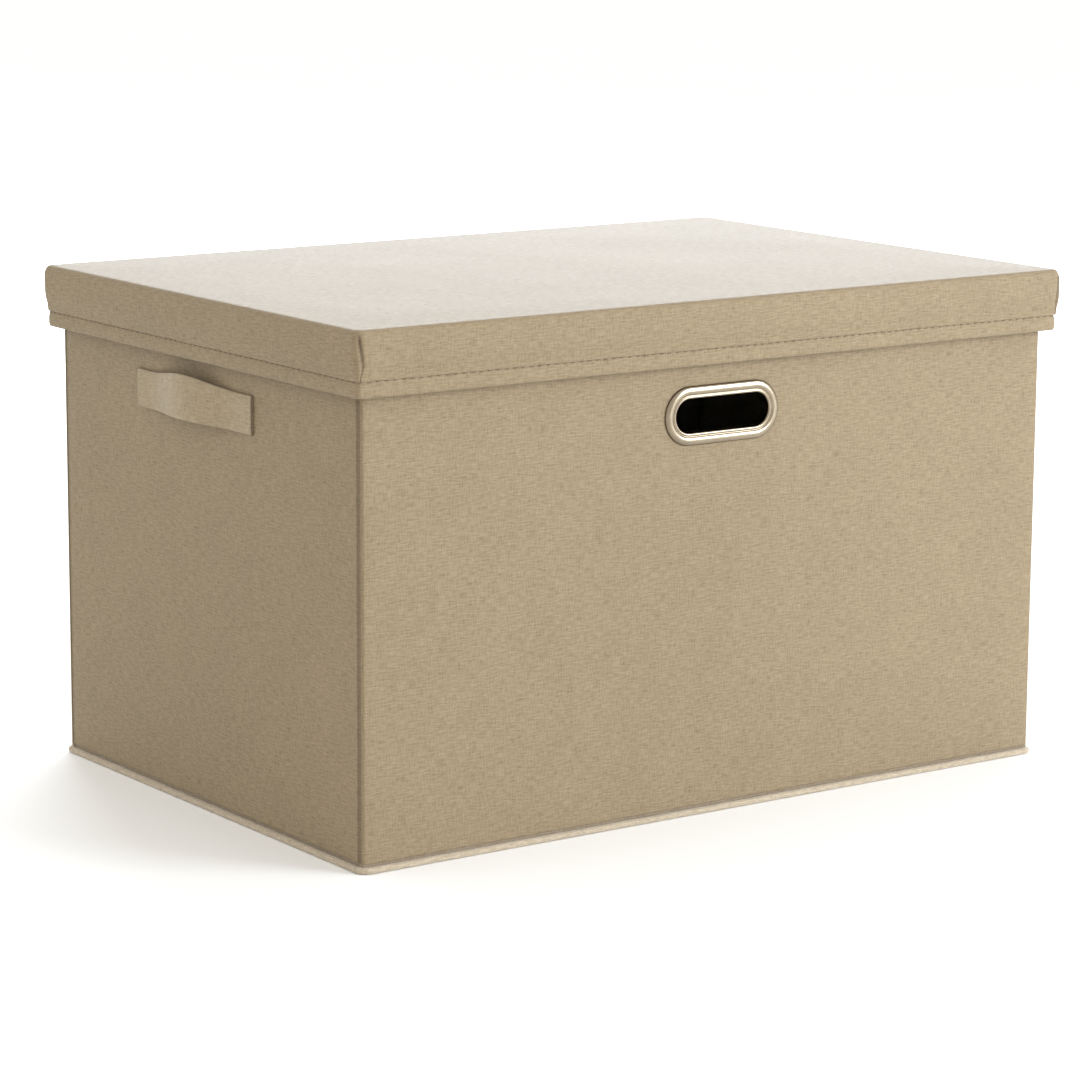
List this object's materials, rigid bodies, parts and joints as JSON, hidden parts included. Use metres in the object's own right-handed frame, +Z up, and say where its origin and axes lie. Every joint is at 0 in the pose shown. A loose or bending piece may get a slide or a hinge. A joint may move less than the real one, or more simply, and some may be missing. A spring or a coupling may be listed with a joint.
{
  "type": "fabric storage bin",
  "caption": "Rectangular linen-look fabric bin with board walls, lift-off lid, metal-edged hand hole in front, strap handles on the short sides, and walls that fold flat.",
  "frame": {"origin": "on the floor under the centre of the bin", "axes": "+X along the long walls to the right, -Y out of the front wall with the hand hole, +Z up"},
  "size_m": [0.511, 0.3536, 0.3026],
  "materials": {
    "linen": "matte",
    "lining": "matte",
    "greyboard": "matte",
    "thread": "matte",
    "nickel": "satin"
  },
  "bodies": {
    "back_wall": {"back_cover": "linen", "back_board": "greyboard", "back_lining": "lining", "back_welt": "linen", "base_cloth": "linen", "base_lining": "lining", "insert_backing": "lining", "insert_board": "greyboard", "insert_cover": "lining"},
    "left_rear_wall": {"left_rear_cover": "linen", "left_rear_board": "greyboard", "left_rear_lining": "lining", "left_rear_welt": "linen", "left_strap": "linen"},
    "left_front_wall": {"left_front_cover": "linen", "left_front_board": "greyboard", "left_front_lining": "lining", "left_front_welt": "linen"},
    "front_wall": {"front_cover": "linen", "front_board": "greyboard", "front_lining": "lining", "front_welt": "linen", "grommet_ring": "nickel", "grommet_washer": "nickel"},
    "right_rear_wall": {"right_rear_cover": "linen", "right_rear_board": "greyboard", "right_rear_lining": "lining", "right_rear_welt": "linen", "right_strap": "linen"},
    "right_front_wall": {"right_front_cover": "linen", "right_front_board": "greyboard", "right_front_lining": "lining", "right_front_welt": "linen"},
    "lid": {"lid_cover": "linen", "lid_lining": "lining", "lid_top_board": "greyboard", "lid_front_skirt_board": "greyboard", "lid_back_skirt_board": "greyboard", "lid_left_skirt_board": "greyboard", "lid_right_skirt_board": "greyboard", "lid_hem": "linen"}
  },
  "joints": [
    {"name": "lid_lift", "type": "slide", "parent": "back_wall", "child": "lid", "axis": [0, 0, 1], "range_m": [0, 0.25]},
    {"name": "fold", "type": "hinge", "parent": "back_wall", "child": "left_rear_wall", "pos_m": [-0.2409, 0.1639, 0], "axis": [0, 0, 1], "range_deg": [0, 88], "deforming": ["front_welt", "left_rear_welt", "left_front_welt", "right_rear_welt", "right_front_welt", "left_strap", "right_strap"]},
    {"name": "left_crease", "type": "hinge", "parent": "left_rear_wall", "child": "left_front_wall", "pos_m": [-0.245, 0, 0], "axis": [0, 0, 1], "range_deg": [-176, 0]},
    {"name": "front_left_corner", "type": "hinge", "parent": "left_front_wall", "child": "front_wall", "pos_m": [-0.2409, -0.1639, 0], "axis": [0, 0, 1], "range_deg": [0, 88]},
    {"name": "back_right_corner", "type": "hinge", "parent": "back_wall", "child": "right_rear_wall", "pos_m": [0.2409, 0.1639, 0], "axis": [0, 0, 1], "range_deg": [-88, 0]},
    {"name": "right_crease", "type": "hinge", "parent": "right_rear_wall", "child": "right_front_wall", "pos_m": [0.245, 0, 0], "axis": [0, 0, 1], "range_deg": [0, 176]}
  ],
  "couplings": [
    {"joint": "left_crease", "follows": "fold", "ratio": -2},
    {"joint": "front_left_corner", "follows": "fold", "ratio": 1},
    {"joint": "back_right_corner", "follows": "fold", "ratio": -1},
    {"joint": "right_crease", "follows": "fold", "ratio": 2}
  ]
}
